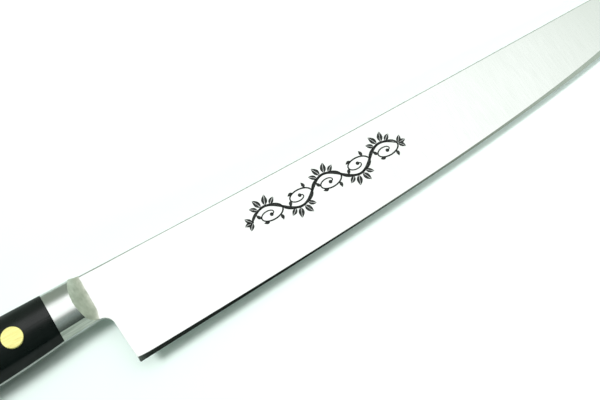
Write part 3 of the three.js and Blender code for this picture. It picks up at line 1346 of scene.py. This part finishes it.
@dataclass
class RivetSet:
    """Three two-piece rivets: a solid half on the right and a hollow half on the left of each."""

    shape: KnifeShape
    names: tuple[str, ...] = ("front", "middle", "rear")
    first: float = 14.85
    spacing: float = 40.5
    head: float = 4.0
    head_thickness: float = 3.0
    head_rows: int = 14
    tube: float = 2.5
    pin: float = 1.6
    bore: float = 1.7
    floor: float = 1.2  # metal left at the blind end of the hollow half
    end_gap: float = 0.4  # gap at the end of each shank
    follow: float = 0.3  # how much of the scale's roundness a head takes up
    rim: float = 0.22
    rim_rows: int = 6

    def places(self) -> list[Rivet]:
        """Finds where the rivets are.

        Returns:
            The rivets, from the front to the rear.
        """
        s = self.shape
        found = []
        for number, name in enumerate(self.names):
            x = s.scale_front - self.first - self.spacing * number
            top, belly, flank, flat = (float(v) for v in s.handle(np.array(x)))
            seat = min(flank, flat) - self.head_thickness
            found.append(Rivet(name, x, (top + belly) / 2, seat))
        return found

    def head_rings(self, rivet: Rivet, side: Side) -> list[Ring]:
        """The rings of a head, which is flatter than the scale round it, with an eased rim.

        Args:
            rivet: The rivet.
            side: The head's side.

        Returns:
            Radii with their heights, from the head's middle to its seat.
        """
        surface = self.shape.scale_surface
        middle = float(surface(np.array(rivet.x), np.array(rivet.y)))

        def lowered(drop: float) -> HeightRule:
            """A rule for the head's surface, lowered by drop."""
            return lambda xs, ys: side * (
                middle + self.follow * (surface(xs, ys) - middle) - drop
            )

        flat = self.head - self.rim
        radii = np.linspace(0, flat, self.head_rows)
        rings: list[Ring] = [(float(radius), lowered(0.0)) for radius in radii]
        for turn in np.linspace(0, math.pi / 2, self.rim_rows)[1:]:
            drop = self.rim * (1 - math.cos(turn))
            rings.append((flat + self.rim * math.sin(turn), lowered(drop)))
        return rings + [(self.head, float(side * rivet.seat))]

    def build(self, bench: Bench, finishes: Finishes) -> list[bpy.types.Object]:
        """Makes both halves of each rivet.

        Args:
            bench: Where the heel is.
            finishes: All materials.

        Returns:
            The halves, rivet by rivet.
        """
        pieces = []
        for rivet in self.places():
            low, high = -rivet.seat + self.floor, rivet.seat - self.end_gap
            end = low + self.end_gap
            pin = [(self.pin, rivet.seat), (self.pin, end), (0.0, end)]
            tube = [(self.tube, -rivet.seat), (self.tube, high)]
            tube += [(self.bore, high), (self.bore, low), (0.0, low)]
            for half, side, rest in (("pin", Side.RIGHT, pin), ("socket", Side.LEFT, tube)):
                rings = self.head_rings(rivet, side) + rest
                skin = Skin()
                skin.grid(turned(rings, rivet.x, rivet.y), around=True)
                node = f"{rivet.name}_rivet_{half}"
                materials = [finishes[Finish.BRASS]]
                pieces.append(bench.piece(f"{node}_head", skin, materials, "rivet_brass", [node]))
        return pieces


@dataclass
class EtchedVine:
    """A common scrolling vine etched on the blade's right face.

    It has a waving stem, curled tendrils, leaves and berries. Angles are in radians.
    """

    shape: KnifeShape
    start: float = 61.0
    length: float = 66.0
    middle: float = 24.6
    proud: float = 0.012
    sunk: float = 0.01

    # The stem.
    bends: int = 5
    swing: float = 3.5
    stem_width: float = 1.0
    stem_points: int = 260
    stem_end: float = 0.3  # share of its width that is left at the ends
    stem_taper: float = 8.0

    # A tendril, which curls round a middle within its bend.
    tendril_place: float = 0.56
    tendril_drop: float = 0.25
    tendril_points: int = 96
    tendril_width: float = 0.75
    tendril_thinning: float = 0.4
    tendril_turns: float = 1.65
    tendril_height: float = 0.56  # its height against its length
    tendril_radius: float = 0.5  # its widest radius against half a wave of the stem
    tendril_power: float = 0.9
    tendril_eye: float = 0.8  # radius at which it ends
    tendril_leaves: tuple[int, ...] = (36, 46, 57)
    tendril_leaf_lean: float = -0.9
    tendril_leaf_size: float = 0.55
    berry: float = 0.75
    berry_points: int = 13
    berry_end: float = 0.98  # share of its radius at which its strip ends

    # A leaf.
    leaf_length: float = 4.6
    leaf_width: float = 2.2
    leaf_points: int = 16
    leaf_belly: float = 0.8  # below 1, its widest place lies nearer its root
    leaf_sharpness: float = 1.1
    leaf_bend: float = 0.5
    vein: float = 0.16
    veined_size: float = 0.6

    # The leaves outside a bend, by place along it, lean and size, and those at the stem's ends.
    spray: tuple[tuple[float, float, float], ...] = (
        (0.3, 2.3, 0.75),
        (0.43, 1.9, 0.95),
        (0.57, 1.25, 0.95),
        (0.7, 0.85, 0.75),
    )
    spray_upright: float = 1.6  # lean at which a leaf stays straight
    spray_lift: float = 0.2
    end_leans: tuple[float, ...] = (-0.75, 0.0, 0.75)
    end_leaf_size: float = 0.75
    end_leaf_bend: float = 0.4

    def ribbon(self, skin: Skin, line: np.ndarray, widths: np.ndarray) -> None:
        """Adds one stroke as a thin closed strip on the blade's face.

        Args:
            skin: The skin that takes it.
            line: The stroke's middle line.
            widths: Its width at each point.
        """
        along = np.gradient(line, axis=0)
        along /= np.linalg.norm(along, axis=1)[:, None]
        across = np.stack([-along[:, 1], along[:, 0]], -1) * (widths / 2)[:, None]
        sides = []
        for edge, lift in ((1, self.proud), (-1, self.proud), (-1, -self.sunk), (1, -self.sunk)):
            xy = line + edge * across
            z = self.shape.face(xy[:, 0], xy[:, 1], Side.RIGHT) + lift
            sides.append(np.column_stack([xy, z]))
        strip = np.stack(sides, 1)
        skin.grid(strip, around=True)
        for end in (strip[0], strip[-1]):
            skin.grid(np.array([[end[0], end[1]], [end[3], end[2]]]))

    def stem(self, share: np.ndarray) -> np.ndarray:
        """Points along the waving stem."""
        wave = np.sin(math.pi * self.bends * share)
        return np.stack([self.start + self.length * share, self.middle + self.swing * wave], -1)

    def leaf(self, skin: Skin, root: np.ndarray, angle: float, size: float, bend: float) -> None:
        """Adds a pointed leaf: a large one as two halves beside a bare vein, a small one whole.

        Args:
            skin: The skin that takes it.
            root: Where it grows from.
            angle: Its direction at the root.
            size: Its size against a full leaf.
            bend: How far it turns on the way to its point.
        """
        share = np.linspace(0, 1, self.leaf_points)
        turn = angle + bend * share
        along = np.stack([np.cos(turn), np.sin(turn)], -1)
        across = np.stack([-np.sin(turn), np.cos(turn)], -1)
        line = root + np.cumsum(along, axis=0) * size * self.leaf_length / len(share)
        bulge = np.sin(math.pi * share**self.leaf_belly) ** self.leaf_sharpness
        swell = size * self.leaf_width * bulge
        if size < self.veined_size:
            self.ribbon(skin, line, swell + self.vein)
            return
        for half in (-1, 1):
            offset = half * (swell / 4 + self.vein / 2)
            self.ribbon(skin, line + offset[:, None] * across, swell / 2 + self.vein / 3)

    def tendril(self, skin: Skin, number: int, up: int) -> None:
        """Adds the curl inside one bend of the stem, with its berry and small leaves.

        Args:
            skin: The skin that takes them.
            number: The bend's number along the stem.
            up: 1 for a bend towards the spine, -1 for one towards the edge.
        """
        half = self.length / self.bends
        x = self.start + half * (number + self.tendril_place)
        centre = np.array([x, self.middle - self.tendril_drop * up])
        turns = np.linspace(0, 1, self.tendril_points)
        radius = self.tendril_radius * half * (1 - turns) ** self.tendril_power + self.tendril_eye
        angle = math.pi - 2 * math.pi * self.tendril_turns * turns
        height = up * self.tendril_height
        curl = np.stack([radius * np.cos(angle), height * radius * np.sin(angle)], -1)
        widths = self.tendril_width * (1 - self.tendril_thinning * turns)
        self.ribbon(skin, centre + curl, widths)
        across = np.linspace(-self.berry_end, self.berry_end, self.berry_points)
        dot = centre + curl[-1] + np.stack([self.berry * across, 0 * across], -1)
        self.ribbon(skin, dot, 2 * self.berry * np.sqrt(1 - across**2))
        for step in self.tendril_leaves:
            outward = math.atan2(curl[step, 1], curl[step, 0]) + up * self.tendril_leaf_lean
            bend = -self.leaf_bend * up
            self.leaf(skin, centre + curl[step], outward, self.tendril_leaf_size, bend)

    def sprays(self, skin: Skin, number: int, up: int) -> None:
        """Adds the leaves that grow from the stem outside one of its bends.

        Args:
            skin: The skin that takes them.
            number: The bend's number along the stem.
            up: 1 for a bend towards the spine, -1 for one towards the edge.
        """
        for place, lean, size in self.spray:
            root = self.stem(np.array([(number + place) / self.bends]))[0]
            root = root + np.array([0, self.spray_lift * up])
            bend = self.leaf_bend * up * (lean - self.spray_upright)
            self.leaf(skin, root, up * lean, size, bend)

    def build(self, bench: Bench, finishes: Finishes) -> list[bpy.types.Object]:
        """Makes the piece.

        Args:
            bench: Where the heel is.
            finishes: All materials.

        Returns:
            The vine.
        """
        skin = Skin()
        share = np.linspace(0, 1, self.stem_points)
        stem = self.stem(share)
        taper = self.stem_end + self.stem_taper * np.minimum(share, 1 - share)
        self.ribbon(skin, stem, self.stem_width * np.minimum(1, taper))
        for number in range(self.bends):
            up = 1 if number % 2 == 0 else -1
            self.tendril(skin, number, up)
            self.sprays(skin, number, up)
        for end, facing in ((stem[0], math.pi), (stem[-1], 0.0)):
            for lean in self.end_leans:
                bend = self.end_leaf_bend * lean
                self.leaf(skin, end, facing + lean, self.end_leaf_size, bend)
        return [bench.piece("etched_vine", skin, [finishes[Finish.OXIDE]], "blade_steel")]


@dataclass(frozen=True)
class RoomPatch:
    """A soft-edged patch of the room round the knife, by the directions in which it lies.

    Each bound names a measure and the values between which the patch fades in. ALONG is how far a
    direction points to the tip, and AWAY the same to either end. TILT is its angle from straight
    up, in radians, over the spine when negative and before the edge when positive. POINTED is
    ALONG, and more the further the tilt is from the overhead light's middle.
    """

    colour: str
    strength: float
    bounds: tuple[tuple[Measure, float, float], ...]


# The room in the order in which it is laid, so that a later patch covers an earlier one.
ROOM_PATCHES = (
    # A dark corner behind the handle, before the edge.
    RoomPatch("#1C1F1D", 1.0, (
        (Measure.ALONG, -0.12, -0.28), (Measure.AWAY, 0.97, 0.85),
        (Measure.TILT, 0.0, 0.3), (Measure.TILT, 1.55, 1.4),
    )),
    # The darker side of the room before the edge.
    RoomPatch("#405453", 1.0, (
        (Measure.TILT, 0.07, 1.42), (Measure.TILT, 1.6, 1.5), (Measure.AWAY, 1.0, 0.8),
    )),
    # Paler walls low down towards both ends of it, which keep the steel light from other sides.
    RoomPatch("#A3AEA5", 1.0, (
        (Measure.AWAY, 0.22, 0.4), (Measure.TILT, 0.9, 1.15),
    )),
    # A pale strip of wall that the lower band of the bolster shows.
    RoomPatch("#CFE0DB", 1.0, (
        (Measure.TILT, 0.05, 0.25), (Measure.TILT, 0.7, 0.36),
        (Measure.ALONG, -0.16, -0.08), (Measure.ALONG, 0.042, 0.025),
    )),
    # A pale wall beyond the tip.
    RoomPatch("#E8F3E7", 1.0, (
        (Measure.ALONG, 0.2, 0.6), (Measure.TILT, 0.65, 0.0),
    )),
    # A big soft light overhead, which leans over the spine.
    RoomPatch("#FFFFFF", 1.7, (
        (Measure.TILT, -0.8, -0.58), (Measure.TILT, 0.12, -0.02),
        (Measure.ALONG, -0.63, -0.4), (Measure.POINTED, 0.715, 0.485),
    )),
    # A dark screen beside the camera.
    RoomPatch("#2B302D", 1.0, (
        (Measure.TILT, -0.02, 0.12), (Measure.TILT, 1.5, 1.25),
        (Measure.ALONG, 0.03, 0.05), (Measure.ALONG, 0.46, 0.28),
    )),
)


@dataclass(frozen=True)
class Studio:
    """The card that the knife lies on, the room and lamps round it, and the photograph's camera.

    The knife rests on its handle's side, with its tip just over the card, so the card leans by just
    over a degree in the knife's own frame.
    """

    shape: KnifeShape
    bench: Bench
    card_half: float = 2.5  # metres
    touch: float = -67.6  # where the handle's side rests on the card
    tip_gap: float = 2.0
    camera_place: tuple[float, float, float] = (-20.5, -81.3, 366.6)
    look: tuple[float, float, float] = (0.258, 0.266, -0.929)
    level: tuple[float, float, float] = (0.845, -0.528, 0.083)
    sensor: float = 36.0
    lens: float = 62.42
    nearest: float = 0.01  # metres
    lamp_from: tuple[float, float, float] = (-0.66, 0.186, 0.72)
    lamp_width: float = math.radians(16)
    lamp_strength: float = 2.42
    reflector_from: tuple[float, float, float] = (290.0, -420.0, 190.0)
    reflector_aim: tuple[float, float, float] = (240.0, 10.0, -2.0)
    reflector_size: float = 160.0
    reflector_power: float = 0.18
    reflector_spread: float = math.radians(52)
    room_colour: str = "#9BA598"
    panel_slant: float = 0.8
    panel_middle: float = -0.2  # tilt of the overhead light's middle

    def card(self, finish: bpy.types.Material) -> None:
        """Lays the card under the handle's side and just below the tip.

        Args:
            finish: Its material.
        """
        s = self.shape
        low = -s.handle_side_flat
        tip = float(s.face(np.array(s.blade_length), np.array(s.tip_height), Side.LEFT))
        rise = (tip - self.tip_gap - low) / (s.blade_length - self.touch)
        lean = Matrix.Rotation(-math.atan(rise), 4, "Y")
        contact = self.bench.heel + Vector((self.touch, 0, low)) * MM
        reach = self.card_half
        corners = [(-reach, -reach, 0), (reach, -reach, 0), (reach, reach, 0), (-reach, reach, 0)]
        mesh = bpy.data.meshes.new("card")
        mesh.from_pydata(corners, [], [(0, 1, 2, 3)])
        mesh.transform(Matrix.Translation(contact) @ lean)
        mesh.materials.append(finish)
        add_object("card", mesh)

    def aimed(self, light: bpy.types.Light, back: Vector) -> bpy.types.Object:
        """Puts a light into the scene. Reflections come from the room alone, so it has none.

        Args:
            light: The light.
            back: The direction from what it lights towards it.

        Returns:
            The new lamp.
        """
        lamp = add_object(light.name, light)
        lamp.rotation_mode = "QUATERNION"
        lamp.rotation_quaternion = back.to_track_quat("Z", "Y")
        lamp.visible_glossy = False
        return lamp

    def lamp(self) -> None:
        """Sets a second, smaller lamp behind the handle."""
        light = bpy.data.lights.new("second_lamp", "SUN")
        light.energy = self.lamp_strength
        light.angle = self.lamp_width
        self.aimed(light, Vector(self.lamp_from))

    def reflector(self) -> None:
        """Stands a small reflector by the tip, before the edge, to lift the shadow there."""
        light = bpy.data.lights.new("tip_reflector", "AREA")
        light.size = self.reflector_size * MM
        light.energy = self.reflector_power
        light.spread = self.reflector_spread
        place = Vector(self.reflector_from)
        lamp = self.aimed(light, place - Vector(self.reflector_aim))
        lamp.location = self.bench.heel + place * MM
        lamp.visible_camera = False

    def measures(self, tree: bpy.types.NodeTree) -> dict[Measure, bpy.types.NodeSocket]:
        """Adds the nodes that measure a direction in the room.

        Args:
            tree: The world's node tree.

        Returns:
            The output socket of each measure.
        """
        place = add_node(tree, "ShaderNodeTexCoord")
        parts = add_node(tree, "ShaderNodeSeparateXYZ", {}, {0: place.outputs["Generated"]})
        along = parts.outputs["X"]
        toward = add_node(
            tree, "ShaderNodeMath", {"operation": "MULTIPLY"}, {0: parts.outputs["Y"], 1: -1.0}
        )
        tilt = add_node(
            tree, "ShaderNodeMath", {"operation": "ARCTAN2"},
            {0: toward.outputs[0], 1: parts.outputs["Z"]},
        )
        away = add_node(tree, "ShaderNodeMath", {"operation": "ABSOLUTE"}, {0: along})
        off = add_node(
            tree, "ShaderNodeMath", {"operation": "SUBTRACT"},
            {0: tilt.outputs[0], 1: self.panel_middle},
        )
        apart = add_node(tree, "ShaderNodeMath", {"operation": "ABSOLUTE"}, {0: off.outputs[0]})
        pointed = add_node(
            tree, "ShaderNodeMath", {"operation": "MULTIPLY_ADD"},
            {0: apart.outputs[0], 1: self.panel_slant, 2: along},
        )
        return {
            Measure.ALONG: along,
            Measure.AWAY: away.outputs[0],
            Measure.TILT: tilt.outputs[0],
            Measure.POINTED: pointed.outputs[0],
        }

    def room(self) -> None:
        """Builds the world from its plain colour and its patches, in order."""
        world = bpy.data.worlds.new("studio")
        bpy.context.scene.world = world
        world.use_nodes = True
        tree = world.node_tree
        tree.nodes.clear()
        measures = self.measures(tree)
        colour: Any = linear(self.room_colour)
        for patch in ROOM_PATCHES:
            mask: Any = None
            for measure, low, high in patch.bounds:
                step = add_node(
                    tree, "ShaderNodeMapRange", {"interpolation_type": "SMOOTHSTEP"},
                    {"Value": measures[measure], "From Min": low, "From Max": high},
                ).outputs["Result"]
                mask = step if mask is None else add_node(
                    tree, "ShaderNodeMath", {"operation": "MULTIPLY"}, {0: mask, 1: step}
                ).outputs[0]
            red, green, blue = (patch.strength * value for value in linear(patch.colour)[:3])
            mixed = add_node(
                tree, "ShaderNodeMix", {"data_type": "RGBA"},
                {"Factor": mask, "A": colour, "B": (red, green, blue, 1.0)},
            )
            colour = mixed.outputs["Result"]
        path = add_node(tree, "ShaderNodeLightPath")
        seen = add_node(
            tree, "ShaderNodeMix", {"data_type": "RGBA"},
            {"Factor": path.outputs["Is Camera Ray"], "A": colour, "B": linear("#FFFFFF")},
        )
        glow = add_node(
            tree, "ShaderNodeBackground", {}, {"Color": seen.outputs["Result"], "Strength": 1.0}
        )
        add_node(tree, "ShaderNodeOutputWorld", {}, {"Surface": glow.outputs[0]})

    def camera(self) -> None:
        """Sets the camera where the photograph's stood."""
        forward, level = Vector(self.look).normalized(), Vector(self.level)
        right = (level - forward * forward.dot(level)).normalized()
        turn = Matrix((right, right.cross(forward), -forward)).transposed().to_4x4()
        data = bpy.data.cameras.new("camera")
        data.sensor_fit = "HORIZONTAL"
        data.sensor_width = self.sensor
        data.lens = self.lens
        data.clip_start = self.nearest
        camera = add_object("camera", data)
        place = self.bench.heel + Vector(self.camera_place) * MM
        camera.matrix_world = Matrix.Translation(place) @ turn
        bpy.context.scene.camera = camera


def main() -> None:
    """Builds the knife around its frame and reports its pieces, then builds the studio."""
    logging.basicConfig(level=logging.INFO, format="%(name)s: %(message)s")
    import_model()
    bpy.context.scene.view_settings.view_transform = "Standard"
    shape = KnifeShape()
    bench = Bench.from_frame(shape)
    finishes = {finish: finish.value.material() for finish in Finish}
    rivets = RivetSet(shape)
    pieces = BladeAndTang(shape).build(bench, finishes, rivets.places())
    for side in Side:
        pieces += BolsterHalf(shape, side).build(bench, finishes)
        pieces += HandleScale(shape, side).build(bench, finishes, rivets.places())
    pieces += rivets.build(bench, finishes)
    pieces += EtchedVine(shape).build(bench, finishes)
    for piece in pieces:
        LOG.info("%s: %d faces", piece.name, len(piece.data.polygons))
    studio = Studio(shape, bench)
    studio.card(finishes[Finish.CARD])
    studio.lamp()
    studio.reflector()
    studio.room()
    studio.camera()


if __name__ == "__main__":
    main()
